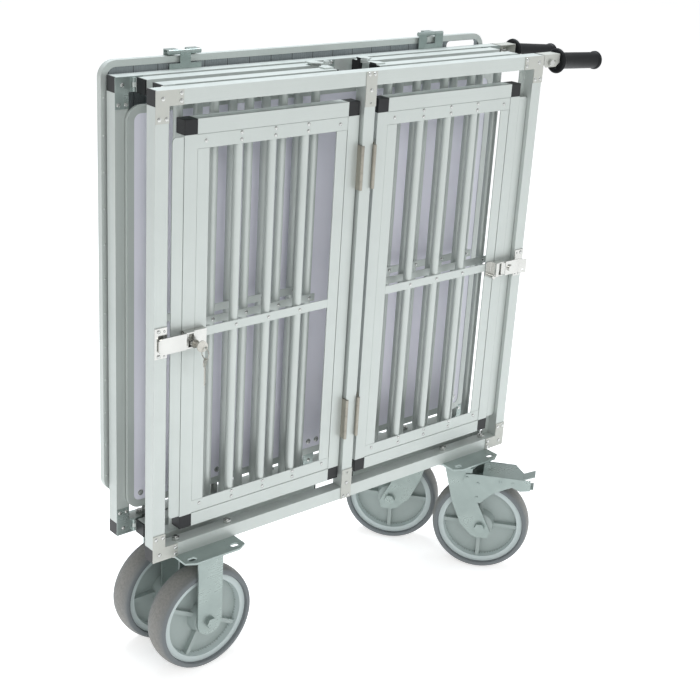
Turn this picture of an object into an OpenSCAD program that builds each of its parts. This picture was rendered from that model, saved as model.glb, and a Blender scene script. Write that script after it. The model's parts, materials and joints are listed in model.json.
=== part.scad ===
// Folding two-bay cage trolley, shown folded flat.
// X runs along the frames, Y from the front frame to the rear frame, Z up.
// The origin is the centre of the footprint, on the ground.

/* [Gate frames] */
// Overall width of a gate frame
gate_w = 884; // [880:1:888]
// Overall height of a gate frame
gate_h = 830; // [826:1:834]
// Side of the square tube
tube = 25; // [24.8:0.1:25.2]
// Wall thickness of the square tube
tube_wall = 1.8; // [1.5:0.1:2.4]
// Front face of the front frame to front face of the rear frame
frame_pitch = 119; // [118.5:0.5:120]
// Thickness of the flat connecting plates
plate_t = 1.5; // [1.2:0.1:1.5]

/* [Doors] */
// Distance of a door behind the front frame's face
door_y = 8; // [7.5:0.1:8.5]
// Bottom of a door above the bottom of the frame
door_low = 45; // [44:1:50]
// Top of a door above the bottom of the frame
door_high = 778; // [775:1:782]
// Pitch of the door bars
door_pitch = 70; // [66:1:71]
// Diameter of the round bars
bar_d = 16; // [15:0.5:16]

/* [Side leaves] */
// Length of a side leaf
leaf_l = 362; // [358:1:362]
// Pitch of the leaf bars
leaf_pitch = 71; // [68:1:72]

/* [Panels] */
// Thickness of the floor board
board_t = 4; // [3:0.5:4]
// Width of the top panel
top_w = 875; // [868:1:875]
// Height of the hanging top panel
top_h = 776; // [770:1:780]
// Thickness of the top panel's trim
top_t = 12; // [11:0.5:13]

/* [Castors] */
// Wheel diameter
wheel_d = 206; // [203:1:206]
// Width of the tyre
wheel_w = 50; // [46:1:50]
// Height of the bottom rail above the axle
axle_drop = 149.5; // [149.5:0.5:152]
// Swivel trail, axle behind the swivel axis
trail = 56; // [56:0.5:58]
// Direction in which the front swivel castor trails, from +X
swivel_turn = -50; // [-52:1:-48]

/* [Handles] */
// Length of the rubber grip
grip_l = 126; // [120:1:130]
// Diameter of the rubber grip
grip_d = 32; // [30:1:33]

/* [Hidden] */
$fn = 48;
eps = 0.01;

// Frame datum: centre of the footprint on the ground
wheel_r = wheel_d / 2;
rail_z = axle_drop + wheel_r;
top_x0 = -7;
channel_x1 = 931;
cart_x = -(top_x0 + channel_x1 + grip_l + 0.5) / 2;
cart_y = -(frame_pitch + tube) / 2;

// Colours
alu = [0.80, 0.83, 0.81];
satin = [0.78, 0.78, 0.76];
zinc = [0.72, 0.78, 0.78];
steel = [0.66, 0.63, 0.56];
chrome = [0.86, 0.86, 0.84];
black = [0.16, 0.16, 0.17];
lilac = [0.80, 0.80, 0.87];
grey = [0.44, 0.43, 0.41];

// Gate frame
top_rail = gate_h - tube;
cap_l = 3;
mid_x = (gate_w - tube) / 2;
post_gap = top_rail - tube;
rear_back = frame_pitch + tube;
rivet_r = 3.8;
rivet_h = 1.5;
small_rivet_r = 3.3;

// Doors: each is [hung side away from the hinge, hinge side, width of the outer fin]
door_gap = 3.5;
left_door = [60.5, mid_x - door_gap, 22.5];
right_door = [48, 415, 22];
door_h = door_high - door_low;
inner_fin = 24;
fin_t = 2;
fin_y = door_y + 0.8;
strip_low = 404;
strip_h = 16;
pin_y = -3.7;
knuckle_r = 3.5;
pin_r = 2;
run_gap = 0.05;
butt_l = 80;
butt_leaf = 1.4;
butt_low = [132, 620];

// Side leaves
leaf_x = 34;
leaf_front = 36;
leaf_rear = 83;
leaf_low = 3;
leaf_pin = [33, 30];
rear_pin = [33, 114];
mid_pin = [leaf_x + leaf_l + 2, (leaf_front + leaf_rear + tube) / 2];
leaf_bar0 = 40;
leaf_strip = 410;
leaf_strip_h = 14;
barrel_r = 3.3;
lug_t = 2.5;
lug_bolt_r = 3;

// Castors
castor_x = [111.5, gate_w - 111.5];
plate_x = 130;
plate_y = 110;
plate_h = 4;
slot_x = 92;
slot_y = 78;
slot_l = 18;
slot_r = 5.5;
rail_bolt_x = 56;
bolt_r = 4;
axle_r = 6;
hub_r = 27;
leg_out = 33;
leg_t = 4;
leg_w = 53;
race_r = 36;
king_r = 6;

// Handles
grip_pin = [904.7, 814.3];
channel_x0 = 886.8;
guard_r = 24.5;
droop = [3, 4.6];

// Gate plates
gusset_arm = 52;
gusset_rivets = [[13, 12], [47, 19], [47, 7], [6, -20], [20, -20]];
strap_l = 62;
strap_hole = [12.5, 7];
strap_rivets = [[6.5, 57], [18.5, 57], [12.5, 29]];
nut_h = 6;

// Leaf hinges
hinge_z = [leaf_low + 1, top_rail + 1];
hinge_l = 23;
knuckle_l = 7.4;
leaf_bar_x = [for (i = [0:4]) leaf_x + leaf_bar0 + i * leaf_pitch];

// Door fins, corners and butt hinges
fin_r = 8;
fin_bite = 0.5;
groove = 0.9;
groove_deep = 1.2;
seam = 0.3;
spigot = 14;
butt_n = 5;
butt_k = butt_l / butt_n;
hinge_x = mid_x - door_gap / 2;
gap_play = 0.15;
leaf_back = door_y - pin_y + 20;

// Latches
keeper_z = 385;
keeper_h = 55;
keeper_t = 2;
latch_z = 409;
latch_h = 29;
paddle_pin = [62, -3.5];
paddle_pin_r = 2;
lock_x = 74;
lock_r = 6;
ear_z = [latch_z - latch_h / 2, latch_z + latch_h / 2 - 2.5];
paddle_t = 2;
paddle_front = 6.6;
paddle_h = latch_h - 5 - 0.6;
bow_y = -22;
bow_hole = [lock_x + 13.5, latch_z - 12.1];
ring_r = 10.5;
ring_wire = 0.9;
cheek_x = 76;

// Handle tongues
tongue_y = 8;
tongue_t = 8;
tongue_h = 12;
tongue_l = 44;
stub_r = 9;
stub_l = 3.2;

// Castor forks, pedals and wheels
race_z = -plate_h - 7;
brake_pin = [20, -36];
brake_pin_r = 3;
cheek_in = 34;
cheek_t = 2;
toe_edge = -4;
tyre_in = 89;
tyre_half = wheel_w / 2;
crown_r = 60;
crown_half = tyre_half - 3;
web_half = 4;

// Floor board and top panel
floor_x0 = 18;
floor_x1 = 866;
floor_z0 = 50;
floor_z1 = 784;
floor_mid = 114.55;
floor_r = 27;
trim_w = 14;
floor_w = floor_x1 - floor_x0;
floor_h = floor_z1 - floor_z0;
fit_y = floor_mid + 2.75;
fit_t = frame_pitch - fit_y;
fit_low = 6;
top_z0 = 75;
top_mid = 156;
top_r = 28;
top_lip = 11;
top_core = 8.6;
hand_x0 = 768;
hand_z0 = 815;
top_pin_y = 147.6;
top_pin_z = 857.5;
top_hinges = [[120, 184, true], [686, 749, false]];
top_knuckle_r = 4;
strap_clear = top_rail + 34;
strap_foot = top_z0 + top_h - 22;

// ---------- shared shapes ----------

module on_cart() {
    translate([cart_x, cart_y, rail_z]) children();
}

// Mirrors about the middle of the gate
module right_side() {
    translate([gate_w, 0, 0]) mirror([1, 0, 0]) children();
}

module both_sides() {
    children();
    right_side() children();
}

module tube_x(l) {
    difference() {
        cube([l, tube, tube]);
        translate([-1, tube_wall, tube_wall])
            cube([l + 2, tube - 2 * tube_wall, tube - 2 * tube_wall]);
    }
}

module tube_z(l) {
    difference() {
        cube([tube, tube, l]);
        translate([tube_wall, tube_wall, -1])
            cube([tube - 2 * tube_wall, tube - 2 * tube_wall, l + 2]);
    }
}

// Rivet head standing out of a face that looks towards -Y
module rivet(r = rivet_r, h = rivet_h) {
    rotate([90, 0, 0]) rotate_extrude()
        polygon([[0, 0], [r, 0], [r * 0.9, h * 0.55], [r * 0.5, h], [0, h]]);
}

module rivets_at(points, y, r = rivet_r, h = rivet_h) {
    for (p = points) translate([p[0], y, p[1]]) rivet(r, h);
}

module end_plug(l) {
    cube([l, tube, tube]);
    translate([l - eps, tube_wall + 0.1, tube_wall + 0.1])
        cube([9, tube - 2 * tube_wall - 0.2, tube - 2 * tube_wall - 0.2]);
}

// ---------- gate frames ----------

module rail_with_holes(y, z, drilled) {
    difference() {
        translate([cap_l, y, z]) tube_x(gate_w - 2 * cap_l);
        if (drilled)
            for (cx = castor_x, side = [-1, 1])
                translate([cx + side * rail_bolt_x, y + tube / 2, z - 1])
                    cylinder(r = bolt_r + 0.25, h = tube + 2);
    }
}

module gate_rails(y) {
    rail_with_holes(y, 0, true);
    rail_with_holes(y, top_rail, false);
}

module stop_fin(y) {
    translate([tube - eps, y + 22, tube]) cube([15, 2, post_gap]);
}

module gate_posts(y) {
    both_sides() {
        translate([0, y, tube]) tube_z(post_gap);
        stop_fin(y);
    }
    translate([mid_x, y, tube]) tube_z(post_gap);
}

// The right end of the top rail stays open for the handle's tongue
module gate_caps(y) {
    for (z = [0, top_rail]) translate([0, y, z]) end_plug(cap_l);
    right_side() translate([0, y, 0]) end_plug(cap_l);
    difference() {
        right_side() translate([0, y, top_rail]) end_plug(cap_l);
        translate([gate_w - 20, y + tongue_y - 0.5, top_rail + 2.5]) cube([22, tongue_t + 1, 20]);
    }
}

// L gusset of a top left corner, on the face that looks towards -Y
module gusset() {
    rotate([90, 0, 0]) linear_extrude(plate_t) {
        translate([0, tube - gusset_arm]) square([tube, gusset_arm]);
        translate([0, 0]) square([gusset_arm, tube]);
    }
}

// Centre strap; its foot keeps an empty hole
module strap() {
    rotate([90, 0, 0]) linear_extrude(plate_t) difference() {
        square([tube, strap_l]);
        translate(strap_hole) circle(r = 2.2);
    }
}

module gate_gussets(y) {
    both_sides() {
        translate([0, y, top_rail]) gusset();
        translate([0, y, tube]) mirror([0, 0, 1]) gusset();
    }
}

module gate_straps(y) {
    translate([mid_x, y, gate_h - strap_l]) strap();
    translate([mid_x, y, strap_l]) mirror([0, 0, 1]) strap();
}

module gate_rivets(y) {
    both_sides() {
        rivets_at([for (p = gusset_rivets) [p[0], top_rail + p[1]]], y - plate_t);
        rivets_at([for (p = gusset_rivets) [p[0], tube - p[1]]], y - plate_t);
    }
    rivets_at([for (p = strap_rivets) [mid_x + p[0], gate_h - strap_l + p[1]]], y - plate_t);
    rivets_at([for (p = strap_rivets) [mid_x + p[0], strap_l - p[1]]], y - plate_t);
}

module hex(af, h) {
    cylinder(d = af / cos(30), h = h, $fn = 6);
}

// Bolts that hold the castor plates to the bottom rail, nuts on top
module castor_bolts(y) {
    for (cx = castor_x, side = [-1, 1])
        translate([cx + side * rail_bolt_x, y + tube / 2, 0]) {
            translate([0, 0, -plate_h]) cylinder(r = bolt_r, h = plate_h + tube + nut_h + 2);
            translate([0, 0, -plate_h - 5]) hex(13, 5);
            difference() {
                translate([0, 0, tube]) hex(13, nut_h);
                translate([0, 0, tube - 1]) cylinder(r = bolt_r + eps, h = nut_h + 2);
            }
        }
}

// ---------- leaf hinges ----------

// Half fixed to a gate frame: plate, two knuckles and the pin
module leaf_hinge_frame_half(pin, face_y) {
    inward = face_y < pin[1] ? -1 : 1;
    reach = abs(face_y - pin[1]);
    for (z = hinge_z) translate([pin[0], pin[1], z]) {
        for (dz = [0, hinge_l - knuckle_l]) translate([0, 0, dz]) {
            cylinder(r = barrel_r, h = knuckle_l);
            translate([-barrel_r, inward < 0 ? -reach : 0, 0]) cube([2 * barrel_r, reach, knuckle_l]);
        }
        translate([-25, inward < 0 ? -reach : reach - plate_t, 0]) cube([25, plate_t, hinge_l]);
        cylinder(r = 1.8, h = hinge_l);
    }
}

// Half fixed to a leaf: plate and the middle knuckle, bored for the pin
module leaf_hinge_leaf_half(pin, face_y, bore) {
    side = face_y > pin[1] ? 1 : -1;
    reach = abs(face_y - pin[1]);
    for (z = hinge_z) translate([pin[0], pin[1], z]) difference() {
        union() {
            translate([0, 0, knuckle_l + 0.3]) {
                cylinder(r = barrel_r, h = hinge_l - 2 * knuckle_l - 0.6);
                translate([0, side > 0 ? 0 : -reach, 0])
                    cube([barrel_r, reach, hinge_l - 2 * knuckle_l - 0.6]);
            }
            translate([1, side > 0 ? reach - plate_t : -reach, 0]) cube([25, plate_t, hinge_l]);
        }
        translate([0, 0, -1]) cylinder(r = bore, h = hinge_l + 2);
    }
}

// Lug on top of a leaf rail that reaches the middle pivot
module mid_lug(front, z, bore) {
    dir = front ? -1 : 1;
    reach = mid_pin[1] - (leaf_front + tube);
    translate([mid_pin[0], mid_pin[1], z]) difference() {
        linear_extrude(lug_t) {
            circle(r = 7);
            polygon([[-7, 0], [7, 0], [3, dir * 6], [-4, dir * reach], [-4, dir * (reach + 16)],
                     [-26, dir * (reach + 16)], [-26, dir * reach]]);
        }
        translate([0, 0, -1]) cylinder(r = bore, h = lug_t + 2);
    }
}

module leaf_rails(y) {
    for (z = [leaf_low, top_rail]) translate([leaf_x, y, z]) {
        translate([cap_l, 0, 0]) tube_x(leaf_l - 2 * cap_l);
        end_plug(cap_l);
        translate([leaf_l, 0, 0]) mirror([1, 0, 0]) end_plug(cap_l);
    }
}

module leaf_bars(y) {
    mid_y = y + tube / 2;
    for (x = leaf_bar_x) translate([x, mid_y, leaf_low + tube])
        cylinder(d = bar_d, h = top_rail - leaf_low - tube);
    translate([leaf_bar_x[0] - 12, mid_y - bar_d / 2 - fin_t, leaf_strip])
        cube([leaf_bar_x[4] - leaf_bar_x[0] + 24, fin_t, leaf_strip_h]);
    rivets_at([for (x = leaf_bar_x) [x, leaf_strip + leaf_strip_h / 2]],
              mid_y - bar_d / 2 - fin_t, small_rivet_r);
}

module front_leaf_rails() {
    leaf_rails(leaf_front);
    leaf_hinge_leaf_half(leaf_pin, leaf_front, 1.85);
    for (z = [leaf_low + tube, gate_h]) {
        mid_lug(true, z, lug_bolt_r - eps);
        translate([mid_pin[0], mid_pin[1], z]) {
            cylinder(r = lug_bolt_r, h = 2 * lug_t + 4);
            translate([0, 0, 2 * lug_t + 0.6]) cylinder(r = 5.5, h = 3);
        }
    }
}

module rear_leaf_rails(open_pivot) {
    leaf_rails(leaf_rear);
    leaf_hinge_leaf_half(rear_pin, leaf_rear + tube, open_pivot ? 2.2 : 1.85);
    for (z = [leaf_low + tube, gate_h]) {
        mid_lug(false, z + lug_t + 0.3, lug_bolt_r + run_gap);
        translate([mid_pin[0] - 22, mid_pin[1] + (leaf_rear - mid_pin[1]) + 2, z])
            cube([18, 12, lug_t + 0.3]);
    }
}

// ---------- doors ----------

// The four members of a door stay separate solids, a hair apart
module door_frame(door) {
    start = door[0] + tube + 0.05;
    rail_l = door[1] - door[0] - 2 * tube - 0.1;
    for (top = [0, 1]) translate([start, 0, top ? door_high - tube : door_low]) {
        translate([0, door_y, 0]) tube_x(rail_l);
        difference() {
            translate([0, fin_y, top ? -inner_fin : tube - fin_bite])
                cube([rail_l, fin_t, inner_fin + fin_bite]);
            translate([-1, fin_y - 1, top ? -groove : tube])
                cube([rail_l + 2, groove_deep + 1, groove]);
        }
    }
    for (x = [door[0], door[1] - tube])
        translate([x, door_y, door_low + tube + 0.05]) tube_z(door_h - 2 * tube - 0.1);
    door_outer_fin(door);
    door_inner_fins(door);
    translate([start + inner_fin, fin_y, strip_low])
        cube([rail_l - 2 * inner_fin, fin_t, strip_h]);
}

module door_outer_fin(door) {
    low = door_low + tube + 2;
    fin_l = door_h - 2 * tube - 4;
    difference() {
        translate([door[0] - door[2], fin_y + fin_t, low]) rotate([90, 0, 0])
            linear_extrude(fin_t) difference() {
                square([door[2] + fin_bite, fin_l]);
                for (m = [0, 1]) translate([0, m * fin_l]) mirror([0, m]) difference() {
                    translate([-1, -1]) square(fin_r + 1);
                    translate([fin_r, fin_r]) circle(r = fin_r);
                }
            }
        translate([door[0] - groove, fin_y - 1, low - 1])
            cube([groove, groove_deep + 1, fin_l + 2]);
    }
}

module door_inner_fins(door) {
    low = door_low + tube + inner_fin + seam;
    high = door_high - tube - inner_fin - seam;
    left = door[0] + tube;
    right = door[1] - tube;
    difference() {
        for (x = [left - fin_bite, right - inner_fin]) translate([x, fin_y, low])
            cube([inner_fin + fin_bite, fin_t, high - low]);
        for (x = [left, right - groove]) translate([x, fin_y - 1, low - 1])
            cube([groove, groove_deep + 1, high - low + 2]);
    }
}

module door_bars(door) {
    low = door_low + tube;
    high = door_high - tube;
    middle = (door[0] + door[1]) / 2;
    bar_x = [for (i = [-1:1]) middle + i * door_pitch];
    corner_x = [door[0] + tube + 17, door[1] - tube - 17];
    for (x = bar_x) translate([x, fin_y + fin_t + bar_d / 2, low])
        cylinder(d = bar_d, h = high - low);
    points = concat(
        [for (x = bar_x, z = [low + 9, low + 20, high - 5, high - 17]) [x, z]],
        [for (x = corner_x, z = [low + 16, high - 12]) [x, z]],
        [for (x = bar_x) [x, strip_low + strip_h / 2]]);
    rivets_at(points, fin_y, small_rivet_r);
}

module door_corner() {
    inset = tube_wall + 0.1;
    side = tube - 2 * inset;
    cube(tube);
    translate([tube - eps, inset, inset]) cube([spigot, side, side]);
    translate([inset, inset, tube - eps]) cube([side, side, spigot]);
}

module door_corners(door) {
    for (mx = [0, 1], mz = [0, 1])
        translate([door[mx], door_y, door_low + mz * door_h])
            mirror([mx, 0, 0]) mirror([0, 0, mz]) door_corner();
}

module butt_knuckle(i, bored) {
    translate([0, 0, i * butt_k + gap_play]) difference() {
        cylinder(r = knuckle_r, h = butt_k - 2 * gap_play);
        if (bored) translate([0, 0, -1]) cylinder(r = pin_r + run_gap, h = butt_k + 2);
    }
}

// Half on the post: outer knuckles, middle one, pin and leaf plate
module butt_post_half() {
    translate([hinge_x, pin_y, 0]) {
        difference() {
            union() {
                for (i = [0, 2, 4]) butt_knuckle(i, false);
                translate([door_gap / 2 - butt_leaf, 0, 0]) cube([butt_leaf, tube, butt_l]);
            }
            for (i = [1, 3]) translate([0, 0, i * butt_k - gap_play])
                cylinder(r = knuckle_r + 0.3, h = butt_k + 2 * gap_play);
        }
        cylinder(r = pin_r, h = butt_l);
    }
}

// Half on the door: two bored knuckles and a leaf that steps across to the stile
module butt_door_half(door) {
    step = mid_x - door_gap - door[1];
    translate([hinge_x, pin_y, 0]) difference() {
        union() {
            for (i = [1, 3]) butt_knuckle(i, false);
            translate([-door_gap / 2, 0, 0]) cube([butt_leaf, leaf_back, butt_l]);
            if (step > butt_leaf) {
                translate([-door_gap / 2 - step, leaf_back - butt_leaf, 0])
                    cube([step + butt_leaf, butt_leaf, butt_l]);
                translate([-door_gap / 2 - step, leaf_back - 16, 0]) cube([butt_leaf, 16, butt_l]);
            }
        }
        for (i = [0, 2, 4]) translate([0, 0, i * butt_k - gap_play])
            cylinder(r = knuckle_r + 0.3, h = butt_k + 2 * gap_play);
        translate([0, 0, -1]) cylinder(r = pin_r + run_gap, h = butt_l + 2);
    }
}

// ---------- latches ----------

module keeper() {
    translate([0.5, 0, keeper_z]) rotate([90, 0, 0]) linear_extrude(keeper_t)
        square([tube - 1, keeper_h]);
}

module keeper_screws() {
    for (z = [keeper_z + 5, keeper_z + keeper_h - 6]) {
        rivets_at([[8, z]], -keeper_t, 3.6, 1.6);
        rivets_at([[19, z - 1]], -keeper_t, 2.2, 1);
    }
}

module latch_plate(x0, x1) {
    translate([x0, 0, latch_z - latch_h / 2]) rotate([90, 0, 0]) linear_extrude(2)
        square([x1 - x0, latch_h]);
}

// Ears that carry the paddle's pin
module latch_ears(z_list) {
    for (z = z_list) translate([paddle_pin[0], paddle_pin[1], z]) linear_extrude(2.5) {
        circle(r = 4.2);
        polygon([[0, -4.2], [14, -4.2], [14, door_y - 2 - paddle_pin[1]],
                 [-2, door_y - 2 - paddle_pin[1]], [-4.2, 0]]);
    }
}

module left_latch_base() {
    translate([0, door_y, 0]) latch_plate(58, 103);
    latch_ears(ear_z);
    translate([paddle_pin[0], paddle_pin[1], ear_z[0]]) cylinder(r = paddle_pin_r, h = latch_h);
    difference() {
        union() {
            translate([76, -4, latch_z - latch_h / 2]) cube([26, door_y - 2 + 4, latch_h]);
            translate([lock_x, -12, latch_z - 6]) rotate([-90, 0, 0])
                cylinder(r = lock_r + 1.5, h = 18);
        }
        translate([lock_x, -13, latch_z - 6]) rotate([-90, 0, 0])
            cylinder(r = lock_r + run_gap, h = 12);
    }
}

// Quarter of a bent plate, from angle a0 to a0 + 90
module bend(r, a0) {
    rotate(a0) intersection() {
        difference() {
            circle(r = r + paddle_t);
            circle(r = r);
        }
        square(r + paddle_t + 1);
    }
}

// Sleeve on the pin and the link to the hand plate, seen from above
module paddle_link() {
    circle(r = 4);
    polygon([[-12, 0], [0, 0], [0, -4], [-4, -paddle_front + paddle_t / 2],
             [-12, -paddle_front + paddle_t / 2]]);
}

// Children add the end of the hand plate, seen from above
module paddle(flat_l) {
    translate([paddle_pin[0], paddle_pin[1], latch_z - latch_h / 2]) difference() {
        union() {
            translate([0, 0, (latch_h - paddle_h) / 2]) linear_extrude(paddle_h) paddle_link();
            linear_extrude(latch_h) {
                translate([-flat_l, -paddle_front]) square([flat_l - 4, paddle_t]);
                children();
            }
        }
        translate([0, 0, -1]) cylinder(r = paddle_pin_r + run_gap, h = latch_h + 2);
    }
}

// The left plate's end bends back towards the post
module left_latch_paddle() {
    flat_l = 49;
    r = 5;
    end = paddle_pin[0] - flat_l - r - paddle_t;
    intersection() {
        paddle(flat_l) translate([-flat_l, -paddle_front + r + paddle_t]) bend(r, 180);
        translate([end, 20, latch_z - latch_h / 2]) rotate([90, 0, 0])
            linear_extrude(60) rounded(90, latch_h, 8);
    }
}

module left_latch_key() {
    translate([lock_x, -12, latch_z - 6]) {
        rotate([-90, 0, 0]) cylinder(r = lock_r, h = 10);
        rotate([90, 0, 0]) cylinder(r = 4, h = 3);
        translate([-1, -9.5, -4]) cube([2, 8, 8]);
        translate([2, bow_y + 12, 0]) rotate([0, 28, 0]) rotate([90, 0, 0])
            linear_extrude(2, center = true) difference() {
                union() {
                    translate([-4, -4]) square([8, 8]);
                    translate([5, 0]) circle(r = 10);
                    translate([8, 0]) circle(r = 9);
                }
                translate([13, 0]) circle(r = 2.6);
            }
    }
}

// Split ring through the key's bow, with the spare key hanging from it
module left_latch_ring() {
    translate([bow_hole[0], bow_y, bow_hole[1] - ring_r]) {
        rotate([0, 90, 0]) rotate_extrude() translate([ring_r, 0]) circle(r = ring_wire, $fn = 16);
        translate([0, 0, -ring_r]) rotate([0, 0, 35]) rotate([90, 0, 0])
            linear_extrude(1.6, center = true) difference() {
                union() {
                    translate([0, -6]) circle(r = 8.5);
                    translate([-2.5, -48]) square([5, 38]);
                }
                circle(r = 2.2);
            }
    }
}

module right_latch_base() {
    z0 = latch_z - latch_h / 2;
    face = paddle_pin[1] - paddle_front + 0.1;
    right_side() {
        translate([0, door_y, 0]) latch_plate(66, 97);
        latch_ears(ear_z);
        translate([paddle_pin[0], paddle_pin[1], ear_z[0]]) cylinder(r = paddle_pin_r, h = latch_h);
        translate([cheek_x, face, z0]) cube([8, door_y - 2 - face, latch_h]);
        translate([cheek_x + 8, door_y - 2, z0]) rotate([90, 0, 0]) cylinder(r = 5, h = 12);
    }
}

// The right plate's end flares outwards as a finger tab with a hole
module right_latch_paddle() {
    flat_l = 42;
    tab = [-56, -15.4];
    boss = [44, latch_z - 1];
    right_side() difference() {
        union() {
            paddle(flat_l) polygon([[-flat_l, -paddle_front], tab, tab + [-0.9, 1.6],
                                    [-flat_l - 0.6, -paddle_front + paddle_t]]);
            translate([boss[0], paddle_pin[1] - paddle_front + eps, boss[1]]) rotate([90, 0, 0])
                cylinder(r = 7, h = 4);
        }
        translate([paddle_pin[0] - 51, -14, latch_z - 8]) rotate([0, 0, 33]) rotate([90, 0, 0])
            cylinder(r = 2.2, h = 12, center = true);
    }
}

// ---------- handles ----------

// Tongue in the rail's end, with the bolt that the handle turns on
module handle_tongue(y) {
    translate([grip_pin[0] + 8 - tongue_l, y + tongue_y, grip_pin[1] - tongue_h / 2])
        cube([tongue_l, tongue_t, tongue_h]);
    translate([grip_pin[0], y, grip_pin[1]]) rotate([-90, 0, 0]) {
        translate([0, 0, -4]) cylinder(r = 4, h = tube + 8);
        translate([0, 0, -5.5]) cylinder(r = 6, h = 3.5);
        translate([0, 0, tube + 1]) hex(13, 4);
    }
}

module channel_web() {
    difference() {
        polygon([[channel_x0, top_rail + 6], [channel_x0, gate_h], [channel_x1, gate_h],
                 [channel_x1, top_rail + 8], [channel_x1 - 10, top_rail + 0.5],
                 [channel_x0 + 6, top_rail + 0.5]]);
        translate(grip_pin) circle(r = 4 + run_gap);
        translate([918, grip_pin[1] + 3]) circle(r = 2.2);
    }
}

// Channel of a handle: web at y_web, top flange, end plate for the grip
module handle_channel(y, front) {
    t = 1.6;
    y_web = front ? y : y + tube - t;
    translate([0, y_web + t, 0]) rotate([90, 0, 0]) linear_extrude(t) channel_web();
    translate([channel_x0, y, gate_h - t]) cube([channel_x1 - channel_x0, tube, t]);
    translate([channel_x1 - t, y, top_rail + 8]) cube([t, tube, tube - 8]);
    translate([channel_x1 - eps, y + tube / 2, grip_pin[1] + 2]) rotate([0, 90, 0])
        cylinder(r = stub_r, h = stub_l);
}

// Rubber grip: hand guard, waist, end flange
module handle_grip(y, tilt) {
    r = grip_d / 2;
    translate([channel_x1, y + tube / 2, grip_pin[1]]) rotate([0, tilt, 0]) rotate([0, 90, 0])
        rotate_extrude() polygon([
            [0, stub_l + 1.2], [stub_r + 3, stub_l + 1.2], [stub_r + 3, 2], [guard_r - 3, 2],
            [guard_r, 4], [guard_r, 6.5], [guard_r - 3, 8.5], [r + 3, 12], [r, 18],
            [r, grip_l - 10], [r + 2, grip_l - 8], [r + 2.4, grip_l - 3.5], [r + 0.6, grip_l - 0.8],
            [r - 4, grip_l], [0, grip_l]]);
}

// ---------- castors ----------

module castor_plate() {
    difference() {
        translate([0, 0, -plate_h]) linear_extrude(plate_h) difference() {
            square([plate_x, plate_y], center = true);
            for (mx = [-1, 1], my = [-1, 1]) translate([mx * plate_x / 2, my * plate_y / 2])
                polygon([[mx, my], [-mx * 18, my], [-mx * 18, 0], [0, -my * 10], [mx, -my * 10]]);
        }
        for (mx = [-1, 1], my = [-1, 1])
            translate([mx * slot_x / 2, my * slot_y / 2, -plate_h - 1]) {
                half = slot_l / 2 - slot_r;
                for (s = [-1, 1]) translate([s * half, 0, 0]) cylinder(r = slot_r, h = plate_h + 2);
                translate([-half, -slot_r, 0]) cube([2 * half, 2 * slot_r, plate_h + 2]);
            }
        for (s = [-1, 1]) translate([s * rail_bolt_x, 0, -plate_h - 1])
            cylinder(r = bolt_r + 0.25, h = plate_h + 2);
    }
}

// Axle bolt along Y, head on the -Y side
module axle_bolt() {
    rotate([-90, 0, 0]) {
        translate([0, 0, -leg_out - 3]) cylinder(r = axle_r, h = 2 * leg_out + 9);
        translate([0, 0, -leg_out - 8]) hex(19, 8);
        translate([0, 0, leg_out]) hex(19, 8);
    }
}

module fixed_leg() {
    rotate([90, 0, 0]) linear_extrude(leg_t) difference() {
        union() {
            translate([-leg_w / 2, -axle_drop]) square([leg_w, axle_drop - plate_h - 6 + eps]);
            translate([0, -axle_drop]) circle(d = leg_w);
        }
        translate([0, -axle_drop]) circle(r = axle_r);
    }
}

module fixed_fork() {
    castor_plate();
    translate([0, -leg_out + leg_t, 0]) fixed_leg();
    translate([0, leg_out, 0]) fixed_leg();
    translate([-31, -leg_out, -plate_h - 6]) cube([62, 2 * leg_out, 6 + eps]);
    translate([0, 0, -axle_drop]) axle_bolt();
}

module swivel_plate() {
    difference() {
        castor_plate();
        translate([0, 0, -plate_h - 1]) cylinder(r = king_r + run_gap, h = plate_h + 2);
    }
    translate([0, 0, -plate_h]) rotate_extrude() polygon([
        [king_r + run_gap, eps], [race_r + 5, eps], [race_r + 5, -2], [race_r, -7],
        [king_r + run_gap, -7]]);
}

module swivel_leg() {
    rotate([90, 0, 0]) linear_extrude(leg_t) difference() {
        polygon([[-27, race_z - 9], [-8, -94], [14, -145], [39, -170], [51, -175], [74, -173],
                 [79, -158], [46, -91], [30, -31], [30, race_z - 9]]);
        translate([trail, -axle_drop]) circle(r = axle_r);
    }
}

module swivel_fork() {
    translate([0, 0, race_z - 9]) {
        difference() {
            union() {
                cylinder(r = race_r + 3, h = 8.7);
                translate([-30, -leg_out, 0]) cube([60, 2 * leg_out, 5]);
            }
            translate([0, 0, -5]) cylinder(r = king_r, h = 20);
        }
        translate([0, 0, -8]) hex(19, 8);
        cylinder(r = king_r, h = 9 + 7 + plate_h - 1.5);
    }
    translate([0, -leg_out + leg_t, 0]) swivel_leg();
    translate([0, leg_out, 0]) swivel_leg();
    translate([trail, 0, -axle_drop]) axle_bolt();
    for (s = [-1, 1]) translate([brake_pin[0], s * leg_out, brake_pin[1]]) rotate([s * -90, 0, 0])
        cylinder(r = brake_pin_r, h = 5.4);
}

// Side plate of the pedal; the near one carries on under the toe tabs
module brake_cheek(toe) {
    end = toe ? [[146, -26], [153, -30], [153, -49], [132, -53], [115, -46]]
              : [[118, -26], [118, -47]];
    rotate([90, 0, 0]) linear_extrude(cheek_t) difference() {
        polygon(concat([[12, -44], [17, -28], [34, -26]], end,
                       [[100, -53], [74, -68], [51, -92], [38, -88], [28, -66]]));
        translate(brake_pin) circle(r = brake_pin_r + run_gap);
    }
}

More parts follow.
